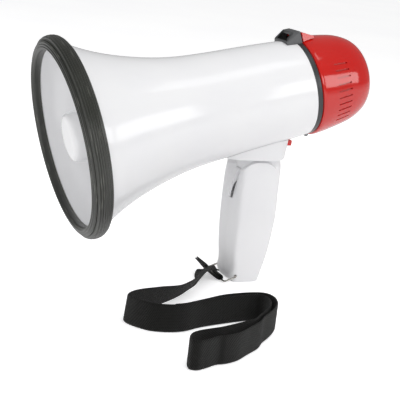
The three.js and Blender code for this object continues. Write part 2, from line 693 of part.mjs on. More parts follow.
put(horn, 'hinge_pin', hingeRod(0.6, across(4)), 'steel');
put(horn, 'rear_cover', rearCover(), 'red');
put(horn, 'cover_latch', coverLatch(), 'red');
put(horn, 'mic_grille', micGrille(), 'black');
put(horn, 'mic_capsule', micCapsule(), 'steel');
put(horn, 'volume_knob', volumeKnob(), 'black');
put(horn, 'potentiometer', potentiometer(), 'steel');

const grip = wholeGrip();
put(megaphone, 'grip_left_shell', leftShell(grip), 'white');
put(megaphone, 'grip_right_shell', rightShell(grip), 'white');
putEach(megaphone, 'grip_screw', GRIP_SCREWS, gripScrew, 'steel');
putEach(horn, 'saddle_screw', SADDLE_SCREWS, saddleScrew, 'steel');
put(megaphone, 'trigger', trigger(), 'white');
put(megaphone, 'trigger_pin', rodY(1.2, across(8.9), TRIGGER_PIVOT, 14), 'steel');
put(megaphone, 'trigger_switch', triggerSwitch(), 'black');
put(megaphone, 'trigger_spring', coil(TRIGGER_SPRING), 'steel');
put(megaphone, 'siren_button', sirenButton(), 'red');
put(megaphone, 'siren_switch', box([-14.6, -7.5], across(5), [112.5, 119.0]), 'black');
put(megaphone, 'switch_cable', switchCable(), 'black');

const bail = new THREE.Group();
megaphone.add(bail);
put(bail, 'strap_bail', strapBail(), 'steel');
put(bail, 'strap_end_loop', strapEndLoop(), 'webbing');
put(megaphone, 'wrist_strap', wristStrap(), 'webbing');

export default megaphone;
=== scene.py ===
# A hand-held megaphone with a pistol grip, a wire bail and a webbing wrist strap.
# Part frame: +X towards the mouth of the horn, +Y its left side, +Z up, grip foot on z = 0.
# Horn frame: X is the horn's axis, 0 at the mouth and negative to the rear; the mouth dips.
# Blender works in metres; every size below is in millimetres unless it says otherwise.
import bpy
import bmesh
import math
import numpy as np
from mathutils import Vector, Matrix


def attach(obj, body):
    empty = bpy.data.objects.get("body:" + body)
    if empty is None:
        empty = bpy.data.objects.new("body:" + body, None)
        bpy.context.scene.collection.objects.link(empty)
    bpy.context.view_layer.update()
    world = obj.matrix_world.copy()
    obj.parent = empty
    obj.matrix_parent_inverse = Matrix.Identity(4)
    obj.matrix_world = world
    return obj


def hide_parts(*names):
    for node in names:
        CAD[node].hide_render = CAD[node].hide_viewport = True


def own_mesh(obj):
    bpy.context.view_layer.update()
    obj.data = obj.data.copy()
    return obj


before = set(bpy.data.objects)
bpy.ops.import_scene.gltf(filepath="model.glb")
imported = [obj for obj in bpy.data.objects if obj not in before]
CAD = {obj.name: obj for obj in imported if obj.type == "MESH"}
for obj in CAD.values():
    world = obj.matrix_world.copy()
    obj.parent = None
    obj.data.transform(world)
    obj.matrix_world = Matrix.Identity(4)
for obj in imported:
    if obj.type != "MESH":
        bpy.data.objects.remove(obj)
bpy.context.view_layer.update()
scene = bpy.context.scene
MM = 0.001


def move(x, y, z):
    return Matrix.Translation(Vector((x, y, z)) * MM)


def turn(angle, axis):
    return Matrix.Rotation(angle, 4, axis)


PART = Matrix.Identity(4)
HORN_TILT = 0.24783     # radians
HORN = move(171.64, 0, 119.85) @ turn(HORN_TILT, 'Y')


# ------------------------------------------------------------------ curves
def fillet(corners, steps=3):
    """Rounds a closed outline. corners: (a, b, corner radius)."""
    points = [np.array(corner[:2], float) for corner in corners]
    out = []
    for i, point in enumerate(points):
        radius = corners[i][2]
        if radius <= 0:
            out.append(tuple(point))
            continue
        back = points[i - 1] - point
        ahead = points[(i + 1) % len(points)] - point
        back_length, ahead_length = np.linalg.norm(back), np.linalg.norm(ahead)
        back, ahead = back / back_length, ahead / ahead_length
        angle = math.acos(float(back @ ahead))
        # a fillet never takes more than 0.48 of either side
        trim = min(radius / math.tan(angle / 2), back_length * 0.48, ahead_length * 0.48)
        start, end = point + back * trim, point + ahead * trim
        for k in range(steps + 1):
            s = k / steps
            out.append(tuple((1 - s) ** 2 * start + 2 * s * (1 - s) * point + s * s * end))
    return out


def spline(points, per=6):
    """Centripetal Catmull-Rom through 2-D or 3-D points, with per steps in each span."""
    P = [np.array(p, float) for p in points]
    P = [2 * P[0] - P[1]] + P + [2 * P[-1] - P[-2]]
    out = []
    for i in range(1, len(P) - 2):
        p0, p1, p2, p3 = P[i - 1:i + 3]
        t0 = 0
        t1 = t0 + np.linalg.norm(p1 - p0) ** 0.5
        t2 = t1 + np.linalg.norm(p2 - p1) ** 0.5
        t3 = t2 + np.linalg.norm(p3 - p2) ** 0.5
        for k in range(per):
            t = t1 + (t2 - t1) * k / per
            a1 = (t1 - t) / (t1 - t0) * p0 + (t - t0) / (t1 - t0) * p1
            a2 = (t2 - t) / (t2 - t1) * p1 + (t - t1) / (t2 - t1) * p2
            a3 = (t3 - t) / (t3 - t2) * p2 + (t - t2) / (t3 - t2) * p3
            b1 = (t2 - t) / (t2 - t0) * a1 + (t - t0) / (t2 - t0) * a2
            b2 = (t3 - t) / (t3 - t1) * a2 + (t - t1) / (t3 - t1) * a3
            out.append(tuple((t2 - t) / (t2 - t1) * b1 + (t - t1) / (t2 - t1) * b2))
    out.append(tuple(P[-2]))
    return out


def arc_lengths(points):
    return np.r_[0, np.cumsum(np.linalg.norm(np.diff(points, axis=0), axis=1))]


def resample(points, step):
    """Evenly spaced points, about step apart, as an array."""
    P = np.array(points, float)
    length = arc_lengths(P)
    count = max(2, int(length[-1] / step))
    t = np.linspace(0, length[-1], count + 1)
    return np.stack([np.interp(t, length, P[:, k]) for k in range(P.shape[1])], 1)


def chord(points, i):
    """From the point before i to the point after it."""
    return points[min(i + 1, len(points) - 1)] - points[max(i - 1, 0)]


def monotone(xs, ys, x):
    """Cubic interpolation that doesn't overshoot; held constant past the ends."""
    xs = np.array(xs, float)
    if x <= xs[0]:
        return float(ys[0])
    if x >= xs[-1]:
        return float(ys[-1])
    i = int(np.searchsorted(xs, x) - 1)
    h = np.diff(xs)
    d = np.diff(ys) / h
    m = np.zeros(len(xs))
    m[0], m[-1] = d[0], d[-1]
    for k in range(1, len(xs) - 1):
        m[k] = 0 if d[k - 1] * d[k] <= 0 else 2 * d[k - 1] * d[k] / (d[k - 1] + d[k])
    t = (x - xs[i]) / h[i]
    return float((2 * t**3 - 3 * t**2 + 1) * ys[i] + (t**3 - 2 * t**2 + t) * h[i] * m[i]
                 + (-2 * t**3 + 3 * t**2) * ys[i + 1] + (t**3 - t**2) * h[i] * m[i + 1])


def ease(t):
    t = max(0, min(1, t))
    return t * t * (3 - 2 * t)


# ------------------------------------------------------------------ meshes
def to_mesh(name, verts, faces, placement=PART, sharp=32):
    """An object from millimetre points. sharp: degrees for a sharp edge, None for flat faces."""
    mesh = bpy.data.meshes.new(name)
    mesh.from_pydata([placement @ (Vector(v) * MM) for v in verts], [], faces)
    mesh.validate()
    mesh.update()
    ob = bpy.data.objects.new(name, mesh)
    scene.collection.objects.link(ob)
    fix_normals(mesh)
    if sharp is not None:
        shade(ob, sharp)
    return ob


def fix_normals(mesh):
    bm = bmesh.new()
    bm.from_mesh(mesh)
    bmesh.ops.remove_doubles(bm, verts=bm.verts, dist=1e-7)
    bmesh.ops.recalc_face_normals(bm, faces=bm.faces)
    if bm.calc_volume(signed=True) < 0:
        bmesh.ops.reverse_faces(bm, faces=bm.faces)
    bm.to_mesh(mesh)
    bm.free()


def shade(ob, sharp=32):
    ob.data.polygons.foreach_set("use_smooth", [True] * len(ob.data.polygons))
    ob.data.set_sharp_from_angle(angle=math.radians(sharp))
    ob.data.update()


def revolve(name, profile, seg=160, sharp=32):
    """Closed (x, radius) profile turned about the horn's axis; an axis point is one vertex."""
    verts, rings = [], []
    for x, r in profile:
        if r < 1e-6:
            rings.append([len(verts)])
            verts.append((x, 0, 0))
        else:
            rings.append(list(range(len(verts), len(verts) + seg)))
            for k in range(seg):
                a = 2 * math.pi * k / seg
                verts.append((x, r * math.cos(a), r * math.sin(a)))
    faces = []
    for i, A in enumerate(rings):
        B = rings[(i + 1) % len(rings)]
        if len(A) == 1 and len(B) == 1:
            continue
        for k in range(seg):
            k2 = (k + 1) % seg
            if len(A) == 1:
                faces.append((A[0], B[k], B[k2]))
            elif len(B) == 1:
                faces.append((A[k], B[0], A[k2]))
            else:
                faces.append((A[k], B[k], B[k2], A[k2]))
    return to_mesh(name, verts, faces, HORN, sharp)


def bridge(name, ring_a, ring_b, placement, sharp=32):
    """Two matching rings, capped and joined by quads."""
    n = len(ring_a)
    faces = [tuple(range(n)), tuple(range(2 * n - 1, n - 1, -1))]
    faces += [(i, (i + 1) % n, n + (i + 1) % n, n + i) for i in range(n)]
    return to_mesh(name, ring_a + ring_b, faces, placement, sharp)


def prism(name, outline, y, placement=PART, sharp=32):
    """An (x, z) outline extruded along Y between the two values of y."""
    ends = [[(px, py, pz) for px, pz in outline] for py in y]
    return bridge(name, ends[0], ends[1], placement, sharp)


# box, cylinder and cross_cylinder make boolean operands, which are used up
def box(x, y, z, placement=PART):
    outline = [(x[0], z[0]), (x[1], z[0]), (x[1], z[1]), (x[0], z[1])]
    return prism("tool", outline, y, placement, sharp=None)


def cylinder(radius, start, end, seg=32, placement=PART):
    start, end = Vector(start), Vector(end)
    rotation = Vector((0, 0, 1)).rotation_difference((end - start).normalized()).to_matrix()
    angles = [2 * math.pi * k / seg for k in range(seg)]
    rings = [[base + rotation @ Vector((radius * math.cos(a), radius * math.sin(a), 0))
              for a in angles] for base in (start, end)]
    return bridge("tool", rings[0], rings[1], placement)


def cross_cylinder(radius, x, z, y, seg=32, placement=PART):
    return cylinder(radius, (x, y[0], z), (x, y[1], z), seg, placement)


def loft_faces(count, n, half=False):
    """Faces through count rings of n points, then the caps. A flat strip closes half rings."""
    faces, last = [], n - 1
    for i in range(count - 1):
        a, b = i * n, (i + 1) * n
        faces += [(a + k, a + k + 1, b + k + 1, b + k) for k in range(last)]
        faces.append((a, b, b + last, a + last) if half else (a + last, a, b, b + last))
    total = count * n
    return faces + [tuple(range(n)), tuple(range(total - 1, total - n - 1, -1))]


def tube(name, points, radius, seg):
    P = [Vector(p) for p in points]
    T = [chord(P, i).normalized() for i in range(len(P))]
    up = Vector((0, 0, 1)) if abs(T[0].z) < 0.9 else Vector((1, 0, 0))
    u = (up - T[0] * up.dot(T[0])).normalized()
    verts = []
    for i, p in enumerate(P):
        if i:   # carry the section along without twist
            u = T[i - 1].rotation_difference(T[i]) @ u
            u = (u - T[i] * u.dot(T[i])).normalized()
        w = T[i].cross(u)
        for k in range(seg):
            a = 2 * math.pi * k / seg
            verts.append(p + u * (radius * math.cos(a)) + w * (radius * math.sin(a)))
    return to_mesh(name, verts, loft_faces(len(P), seg), sharp=40)


def boolean(ob, operation, others):
    """Applies the operation with each of the others, and removes them."""
    for other in others:
        mod = ob.modifiers.new("b", 'BOOLEAN')
        mod.operation = operation
        mod.object = other
        mod.solver = 'EXACT'
    bpy.context.view_layer.update()
    depsgraph = bpy.context.evaluated_depsgraph_get()
    mesh = bpy.data.meshes.new_from_object(ob.evaluated_get(depsgraph))
    ob.modifiers.clear()
    old = ob.data
    ob.data = mesh
    mesh.name = ob.name
    bpy.data.meshes.remove(old)
    for other in others:
        other_mesh = other.data
        bpy.data.objects.remove(other)
        bpy.data.meshes.remove(other_mesh)
    bm = bmesh.new()
    bm.from_mesh(mesh)
    bmesh.ops.remove_doubles(bm, verts=bm.verts, dist=2e-7)
    bmesh.ops.dissolve_degenerate(bm, edges=bm.edges, dist=2e-7)
    bm.to_mesh(mesh)
    bm.free()
    shade(ob)


def bevel(ob, width, segments=3, angle=30, harden=True):
    mod = ob.modifiers.new("edge", 'BEVEL')
    mod.width = width * MM
    mod.segments = segments
    mod.limit_method = 'ANGLE'
    mod.angle_limit = math.radians(angle)
    mod.harden_normals = harden


def use(ob, mat):
    ob.data.materials.clear()
    ob.data.materials.append(mat)


def piece(ob, mat, body, replaced):
    use(ob, mat)
    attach(ob, body)
    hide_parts(replaced)


# ------------------------------------------------------------------ shader helpers
def feed(tree, target, inputs):
    """Links the sockets among the inputs and sets the plain values."""
    for key, value in inputs.items():
        if isinstance(value, bpy.types.NodeSocket):
            tree.links.new(value, target.inputs[key])
        else:
            target.inputs[key].default_value = value


def node(tree, kind, inputs={}, **settings):
    made = tree.nodes.new(kind)
    for key, value in settings.items():
        setattr(made, key, value)
    feed(tree, made, inputs)
    return made


def new_material(name):
    mat = bpy.data.materials.new(name)
    mat.use_nodes = True
    tree = mat.node_tree
    tree.nodes.clear()
    output = tree.nodes.new('ShaderNodeOutputMaterial')
    bsdf = tree.nodes.new('ShaderNodeBsdfPrincipled')
    tree.links.new(bsdf.outputs[0], output.inputs[0])
    return mat, tree, bsdf


def lin(rgb):
    """8-bit sRGB to linear."""
    return tuple((v / 12.92 if v <= 0.04045 else ((v + 0.055) / 1.055) ** 2.4)
                 for v in [c / 255 for c in rgb])


def object_coords(tree):
    return node(tree, 'ShaderNodeTexCoord').outputs['Object']


def noise(tree, scale, detail=3, rough=0.5, coords=None):
    coords = coords or object_coords(tree)
    return node(tree, 'ShaderNodeTexNoise', {
        'Scale': scale, 'Detail': detail, 'Roughness': rough, 'Vector': coords}).outputs['Fac']


def ramp(tree, value, *stops):
    """stops: two (position, linear colour) pairs."""
    made = node(tree, 'ShaderNodeValToRGB', {0: value})
    for element, (position, colour) in zip(made.color_ramp.elements, stops):
        element.position = position
        element.color = (*colour, 1)
    return made.outputs[0]


def map_range(tree, value, source, target, **settings):
    return node(tree, 'ShaderNodeMapRange', {
        0: value, 'From Min': source[0], 'From Max': source[1],
        'To Min': target[0], 'To Max': target[1]}, **settings).outputs[0]


def bump(tree, height, strength, distance):
    return node(tree, 'ShaderNodeBump', {
        'Strength': strength, 'Distance': distance, 'Height': height}).outputs[0]


def calc(tree, operation, *values):
    return node(tree, 'ShaderNodeMath', dict(enumerate(values)), operation=operation).outputs[0]


def mix(tree, a, b, factor, **settings):
    # inputs 6 and 7 are the mix node's two colours
    return node(tree, 'ShaderNodeMix', {'Factor': factor, 6: a, 7: b},
                data_type='RGBA', **settings).outputs[2]


# ------------------------------------------------------------------ materials
def plastic(name, dark, light, rough, grain=0.010, grain_scale=1400, spec=0.5, coat=0.0,
            edge=None):
    """Mottled plastic with a fine grain; edge is a lighter colour painted on its sharp convex
    edges and ridge crests as a painted highlight.
    """
    mat, tree, bsdf = new_material(name)
    colour = ramp(tree, noise(tree, scale=22, detail=4), (0.3, lin(dark)), (0.7, lin(light)))
    if edge:
        # painted highlight: the sharpest convex edges and ridge crests are lightened towards the
        # edge colour
        pointiness = node(tree, 'ShaderNodeNewGeometry').outputs['Pointiness']
        painted_edge_highlight = ramp(tree, pointiness, (0.515, (0, 0, 0)), (0.56, (1, 1, 1)))
        colour = mix(tree, colour, (*lin(edge), 1), factor=painted_edge_highlight)
    patches = noise(tree, scale=26, detail=1, rough=0.4)
    grains = noise(tree, scale=grain_scale, detail=2)
    feed(tree, bsdf, {
        'Base Color': colour,
        'Roughness': map_range(tree, patches, source=(0.2, 0.8), target=rough),
        'Normal': bump(tree, grains, strength=grain, distance=0.0002),
        'Specular IOR Level': spec,
        'Coat Weight': coat,
        'Coat Roughness': 0.12})
    return mat


def metal(name, rgb, rough, scale, stretch=(1, 1, 1), relief=0.05):
    """Metal whose colour, roughness and relief follow one noise, scaled per axis by stretch."""
    mat, tree, bsdf = new_material(name)
    coords = node(tree, 'ShaderNodeMapping', {'Scale': stretch, 'Vector': object_coords(tree)})
    marks = noise(tree, scale=scale, detail=5, rough=0.6, coords=coords.outputs[0])
    dark = tuple(0.82 * v for v in lin(rgb))
    feed(tree, bsdf, {
        'Base Color': ramp(tree, marks, (0.3, dark), (0.75, lin(rgb))),
        'Metallic': 1.0,
        'Roughness': map_range(tree, marks, source=(0.3, 0.7), target=rough),
        'Normal': bump(tree, marks, strength=relief, distance=0.0003)})
    return mat


def circuit_board():
    """Green solder mask over a brick pattern."""
    mat, tree, bsdf = new_material("solder_mask")
    brick = node(tree, 'ShaderNodeTexBrick', {
        'Scale': 160.0, 'Mortar Size': 0.012, 'Vector': object_coords(tree),
        'Color1': (*lin((26, 108, 56)), 1), 'Color2': (*lin((20, 92, 48)), 1),
        'Mortar': (*lin((60, 150, 84)), 1)})
    mottle = ramp(tree, noise(tree, scale=90), (0.35, (0.6, 0.6, 0.6)), (0.65, (1, 1, 1)))
    feed(tree, bsdf, {
        'Base Color': mix(tree, brick.outputs['Color'], mottle, factor=0.35,
                          blend_type='MULTIPLY'),
        'Roughness': 0.35,
        'Normal': bump(tree, brick.outputs['Fac'], strength=0.2, distance=0.0002)})
    return mat


# slanting ribs of the strap, in both its mesh and its material
RIB_PITCH = 1.55
RIB_SLANT = 0.75


def webbing_material():
    """Black webbing: two crossing sine waves plus fuzz. UV runs along and across, in mm."""
    mat, tree, bsdf = new_material("webbing")
    uv = node(tree, 'ShaderNodeUVMap', uv_map="web").outputs[0]
    along, across, _ = node(tree, 'ShaderNodeSeparateXYZ', {0: uv}).outputs

    def wave(along_share, across_share, pitch):
        phase = calc(tree, 'MULTIPLY', along, along_share * 2 * math.pi / pitch)
        phase = calc(tree, 'MULTIPLY_ADD', across, across_share * 2 * math.pi / pitch, phase)
        return calc(tree, 'SINE', phase)

    rib = wave(1.0, RIB_SLANT, pitch=RIB_PITCH)
    yarn = wave(-0.5, 1.0, pitch=0.9)
    yarn_share, fuzz_share = 0.45, 1.1
    weave = calc(tree, 'ADD', rib, calc(tree, 'MULTIPLY', yarn, yarn_share))
    fuzz = noise(tree, scale=900, detail=4, rough=0.7)
    height = calc(tree, 'MULTIPLY_ADD', fuzz, fuzz_share, weave)
    patches = noise(tree, scale=30)
    colour = ramp(tree, height, (0.05, lin((7, 7, 7))), (1.0, lin((24, 24, 21))))
    mottle = ramp(tree, patches, (0.35, (0.7, 0.7, 0.7)), (0.65, (1.1, 1.1, 1.1)))
    feed(tree, bsdf, {
        'Base Color': mix(tree, colour, mottle, factor=0.5, blend_type='MULTIPLY'),
        'Roughness': 0.72,
        'Sheen Weight': 0.10,
        'Sheen Roughness': 0.5,
        'Specular IOR Level': 0.18,
        'Normal': bump(tree, height, strength=0.9, distance=0.00025)})
    return mat


WHITE = plastic("white_abs", (238, 238, 240), (241, 241, 242), rough=(0.10, 0.14),
                grain=0.012, grain_scale=500)
SATIN = plastic("white_abs_satin", (236, 236, 238), (240, 240, 241), rough=(0.36, 0.46),
                grain=0.10, grain_scale=900, spec=0.42)
RED = plastic("red_abs", (196, 18, 10), (204, 24, 14), rough=(0.10, 0.14),
              grain=0.01, grain_scale=500, spec=0.8)
# black_abs and rim_rubber get a painted highlight on their sharp edges and ridge crests (edge)
BLACK = plastic("black_abs", (26, 27, 29), (38, 39, 41), rough=(0.26, 0.40),
                grain=0.06, grain_scale=1800, spec=0.55, edge=(96, 98, 100))
RUBBER = plastic("rim_rubber", (38, 39, 35), (50, 51, 46), rough=(0.28, 0.40),
                 grain=0.08, grain_scale=700, spec=0.75, edge=(88, 89, 82))
KNOB = plastic("knob_black", (22, 22, 24), (34, 34, 36), rough=(0.38, 0.5),
               grain=0.08, grain_scale=1500)
FERRITE = plastic("ferrite", (44, 44, 48), (60, 60, 64), rough=(0.6, 0.8),
                  grain=0.25, grain_scale=700)
FILM = plastic("polyimide", (196, 140, 60), (214, 160, 78), rough=(0.25, 0.4), grain=0.05)
CABLE = plastic("cable_sheath", (24, 24, 25), (36, 36, 37), rough=(0.45, 0.6), grain=0.1)
CELL = plastic("cell_wrap", (52, 56, 62), (62, 66, 72), rough=(0.2, 0.32), grain=0.03, coat=0.3)
WIRE = metal("nickel_wire", (206, 204, 198), rough=(0.14, 0.26), scale=300)
STEEL = metal("zinc_steel", (172, 174, 178), rough=(0.25, 0.45), scale=260,
              stretch=(1, 6, 1), relief=0.1)
PCB = circuit_board()
WEB = webbing_material()

# ------------------------------------------------------------------ horn
# (x, radius) in the horn frame, as in every revolved profile below
HORN_OUTSIDE = spline([
    (-15.7, 75.95), (-17.2, 75.6), (-20, 74.5), (-28, 70.3), (-38, 65.7), (-48, 61.75),
    (-58, 58.35), (-70, 54.9), (-83, 51.7), (-97, 49.0), (-113, 46.95), (-130, 45.8),
    (-148, 45.0), (-166, 44.4), (-183, 43.65), (-200, 42.75), (-213.6, 41.9)], 4)


def horn_shell():
    rear_edge = [(-214.1, 41.75), (-214.3, 41.4), (-214.3, 39.9), (-214.1, 39.5)]
    inside_rear = [(-213.6, 39.5), (-200, 40.2), (-183, 41.1), (-148, 42.4), (-121.2, 43.2)]
    web_inside = [(-121.2, 31), (-118.0, 31)]
    inside_bell = [
        (-118.0, 43.9), (-110, 44.5), (-97, 46.4), (-83, 49.1), (-70, 52.3), (-58, 55.8),
        (-48, 59.2), (-38, 63.2), (-28, 67.8), (-20, 72.0), (-15, 73.25), (-7.6, 73.5)]
    profile = ([(-3.2, 75.9)] + HORN_OUTSIDE + rear_edge + spline(inside_rear, 3)[1:]
               + web_inside + spline(inside_bell, 4) + [(-7.6, 74.1), (-3.2, 74.1)])
    piece(revolve("horn_shell", profile, 192), WHITE, "housing", "horn_body")


def ridged(points, first, last, ridges, depth):
    """Smooth profile with fine ridges between the arc fractions first and last."""
    P = resample(spline(points, 24), 0.12)
    length = arc_lengths(P)
    fraction = length / length[-1]
    out = []
    for k in range(len(P)):
        tangent = chord(P, k)
        tangent = tangent / np.linalg.norm(tangent)
        normal = np.array((tangent[1], -tangent[0]))
        u = (fraction[k] - first) / (last - first)
        h = 0.0
        if 0 < u < 1:
            h = -depth * (0.5 - 0.5 * math.cos(2 * math.pi * ridges * u)) ** 0.6
        out.append(tuple(P[k] + normal * h))
    return out


def rim_edging():
    """Outer roll, a narrow channel, and the lip round the mouth."""
    roll = ridged(
        [(-15.6, 78.6), (-15.3, 79.9), (-14.3, 81.35), (-12.9, 82.5), (-10.9, 83.35),
         (-8.4, 83.65), (-6.4, 83.45), (-4.6, 82.8), (-3.3, 81.9), (-2.5, 81.0)],
        first=0.03, last=0.93, ridges=8, depth=0.6)
    lip = ridged(
        [(-1.9, 80.5), (-1.35, 79.6), (-0.75, 78.3), (-0.25, 76.9), (-0.02, 75.7),
         (-0.25, 74.6), (-1.0, 73.6), (-2.2, 73.05), (-4.0, 72.95)],
        first=0.03, last=0.60, ridges=3, depth=0.5)
    seat = [(-6.8, 73.05), (-7.0, 73.2), (-7.0, 73.75), (-2.65, 73.75), (-2.65, 76.35)]
    profile = [(-15.6, 76.35)] + roll + [(-2.75, 80.35)] + lip + seat
    piece(revolve("rim_edging", profile, 192, sharp=50),
          RUBBER, "housing", "rim_bumper")


def reflector_dome():
    nose = [(-5.8, 0), (-5.8, 8), (-5.85, 13.4), (-6.0, 15.9), (-6.4, 17.6), (-7.1, 18.8),
            (-8.1, 19.6)]
    flank = [(-9.4, 20.2), (-22, 21.9), (-36, 23.8), (-49, 25.8), (-61.2, 27.9)]
    rear_edge = [(-61.8, 27.9), (-62, 27.5), (-62, 26.5), (-61.7, 26.1)]
    inside = [(-36, 21.9), (-11, 18.4), (-8.6, 17.0), (-8.1, 13.5), (-8.1, 0)]
    profile = nose + [flank[0]] + spline(flank, 4)[1:] + rear_edge + inside
    piece(revolve("reflector_dome", profile, 128),
          WHITE, "housing", "reflector_cup")


def throat_piece():
    """Tube on the horn's axis, flanged at the rear, with three radial ribs."""
    # x, radius, corner radius
    profile = [
        (-34, 9.4, 0.5), (-34, 10.9, 0.5), (-78, 11.4, 0), (-118, 12.6, 2), (-121.4, 14.5, 2),
        (-121.4, 39.0, 0.4), (-123.7, 39.0, 0.4), (-123.7, 30.0, 0.6), (-128.9, 30.0, 0.4),
        (-128.9, 22.2, 0.4), (-123.7, 22.2, 0.6), (-123.7, 7.2, 0.5)]
    throat = revolve("throat_piece", fillet(profile), 72)
    # x, z, corner radius
    rib = fillet([(-58, 10.2, 1.0), (-40, 10.2, 1.0), (-40, 21.5, 1.0), (-58, 21.5, 1.0)])
    half_thickness = 0.9
    boolean(throat, 'UNION', [
        prism("rib", rib, (-half_thickness, half_thickness),
              HORN @ turn(math.radians(120 * k), 'X')) for k in range(3)])
    piece(throat, WHITE, "housing", "throat_tube")


horn_shell()
rim_edging()
reflector_dome()
throat_piece()

# ------------------------------------------------------------------ rear ring, cover and latch
# The hinge is under the horn's axis and the latch above it; both in the horn frame.
HINGE_X, HINGE_Z = -219.2, -43.0
PIN_BORE = 0.75
PIN_BORE_Y = (-13, 13)
KNUCKLE = 1.5                 # radius
KNUCKLE_CLEARANCE = 1.9       # radius
RING_KNUCKLE_Y = (2.1, 4.2)   # a knuckle on each side of the cover's
COVER_KNUCKLE_Y = 1.8         # half width
COVER_GAP_Y = 4.5             # outer end of the gaps for the ring's knuckles


def at_hinge(radius, y, seg=40):
    return cross_cylinder(radius, HINGE_X, HINGE_Z, y, seg, HORN)


def rear_ring():
    # x, radius, corner radius
    ring = revolve("ring_body", fillet([
        (-209, 37.2, 0.3), (-209, 38.9, 0.3), (-214.6, 38.9, 0.1), (-214.6, 41.75, 0.45),
        (-218.8, 41.75, 0.45), (-218.8, 37.2, 0.3)]))
    bracket = [(-218.7, -40.6), (-215.4, -40.6), (-215.4, -42.4), (-217.4, -44.1),
               (-218.7, -44.4)]
    inner, outer = RING_KNUCKLE_Y
    knuckles = []
    for y in ((inner, outer), (-outer, -inner)):
        knuckles += [at_hinge(KNUCKLE, y), prism("bracket", bracket, y, HORN)]
    boolean(ring, 'UNION', knuckles)
    boolean(ring, 'DIFFERENCE', [at_hinge(PIN_BORE, PIN_BORE_Y, seg=32),
                                 at_hinge(KNUCKLE_CLEARANCE, (-inner, inner))])
    piece(ring, BLACK, "housing", "rear_ring")


def latch_keeper():
    """Block on top of the ring, with a pocket for the latch's tongue."""
    # x, z, corner radius
    keeper = prism("keeper", fillet([
        (-204.6, 40, 0), (-204.6, 43.7, 0.3), (-205.2, 44.4, 0.3), (-212.6, 50.1, 0.5),
        (-218.75, 50.1, 0.3), (-218.75, 40, 0)]), (-12.2, 12.2), HORN)
    horn_seat = revolve("seat", [(-190, 0), (-190, 43.45), (-205, 42.6), (-214.5, 41.95),
                                 (-214.5, 40.8), (-220, 40.8), (-220, 0)])
    side_cuts = [box(x=(-226, -200), y=(-6, 6), z=(-14, 14),
                     placement=HORN @ move(0, s * 17.2, 46.5) @ turn(s * 0.26, 'X'))
                 for s in (1, -1)]
    slope_recess = box(x=(-4, 4), y=(-7.6, 7.6), z=(-3.0, 3.0),
                       placement=HORN @ move(-207.4, 0, 46.6) @ turn(-0.89, 'Y'))
    pocket = box(x=(-219.5, -208.5), y=(-4.6, 4.6), z=(44.9, 48.4), placement=HORN)
    boolean(keeper, 'DIFFERENCE', [horn_seat] + side_cuts + [slope_recess, pocket])
    bevel(keeper, 0.35, angle=28)
    piece(keeper, BLACK, "housing", "rear_ring")


def rear_cover():
    lip = [(-219.2, 42.2), (-219.5, 42.75), (-220.4, 43.1)]
    outside = [
        (-222, 43.2), (-226, 42.95), (-230, 42.6), (-235, 41.95), (-240, 41.2), (-248, 39.9),
        (-255, 38.4), (-262, 35.8), (-268, 32.4), (-272.4, 28.3), (-275.3, 23.6),
        (-276.7, 19.5), (-277.1, 15.5)]
    inside = [
        (-274.9, 0), (-274.9, 15.0), (-274.2, 19.5), (-271.5, 26.0), (-267, 31.0),
        (-262, 33.6), (-255, 36.2), (-240, 39.0), (-221, 40.4), (-219.2, 40.4)]
    skin = lip + spline(outside, 4)
    cover = revolve("cover_shell", [(-277.2, 0), (-277.15, 9)] + skin[::-1] + inside[::-1])
    half = COVER_KNUCKLE_Y
    boolean(cover, 'UNION', [at_hinge(KNUCKLE, (-half, half))])

    # microphone hole above the axis, volume shaft hole below it
    rear_holes = [cylinder(radius, (-282, 0, z), (-270, 0, z), seg, HORN)
                  for radius, z, seg in ((8.9, 9.5, 64), (3.6, -13.5, 40))]
    latch_slot = box(x=(-230.0, -221.0), y=(-4.1, 4.1), z=(38, 46), placement=HORN)
    # blind louvre grooves that follow the cover's taper, ten on each side
    groove = [(-248.4, 38.6), (-234.6, 40.8), (-234.6, 47), (-248.4, 47)]
    groove_half_width = 0.6
    first_angle, pitch_angle = 58.5, 8.1    # degrees from the top
    grooves = [
        prism("groove", groove, (-groove_half_width, groove_half_width),
              HORN @ turn(-s * math.radians(first_angle + i * pitch_angle), 'X'), sharp=None)
        for s in (1, -1) for i in range(10)]
    boolean(cover, 'DIFFERENCE', [
        at_hinge(PIN_BORE, PIN_BORE_Y, seg=32),
        at_hinge(KNUCKLE_CLEARANCE, (half, COVER_GAP_Y)),
        at_hinge(KNUCKLE_CLEARANCE, (-COVER_GAP_Y, -half)),
        *rear_holes, latch_slot] + grooves)
    piece(cover, RED, "cover", "rear_cover")


def thumb_latch():
    # x, z, corner radius
    latch = prism("thumb_latch", fillet([
        (-219.5, 40, 0), (-219.5, 48.8, 0.6), (-221.3, 48.6, 1.5), (-224.5, 47.0, 2),
        (-228.0, 45.1, 3), (-231.0, 44.1, 0.6), (-231.4, 40, 0)], steps=4),
        (-14.5, 14.5), HORN)
    cuts = [box(x=(-14, 14), y=(-9, 9), z=(-14, 14),
                placement=HORN @ move(-225.2, s * 20.4, 46) @ turn(s * 0.22, 'Z')
                @ turn(s * 0.22, 'X')) for s in (1, -1)]
    bpy.ops.mesh.primitive_uv_sphere_add(segments=72, ring_count=40, radius=12 * MM)
    scoop = bpy.context.object
    scoop.data.transform(HORN @ move(-228.6, 0, 56.5))
    underside = revolve("underside", [(-210, 0), (-210, 43.5), (-240, 43.5), (-240, 0)])
    boolean(latch, 'DIFFERENCE', cuts + [scoop, underside])
    foot = box(x=(-226.0, -221.4), y=(-3.7, 3.7), z=(38.4, 44.6), placement=HORN)
    tongue = box(x=(-220.2, -213.4), y=(-4.1, 4.1), z=(45.5, 47.8), placement=HORN)
    boolean(latch, 'UNION', [foot, tongue])
    bevel(latch, 0.4)
    piece(latch, RED, "latch", "cover_latch")


rear_ring()
latch_keeper()
rear_cover()
thumb_latch()

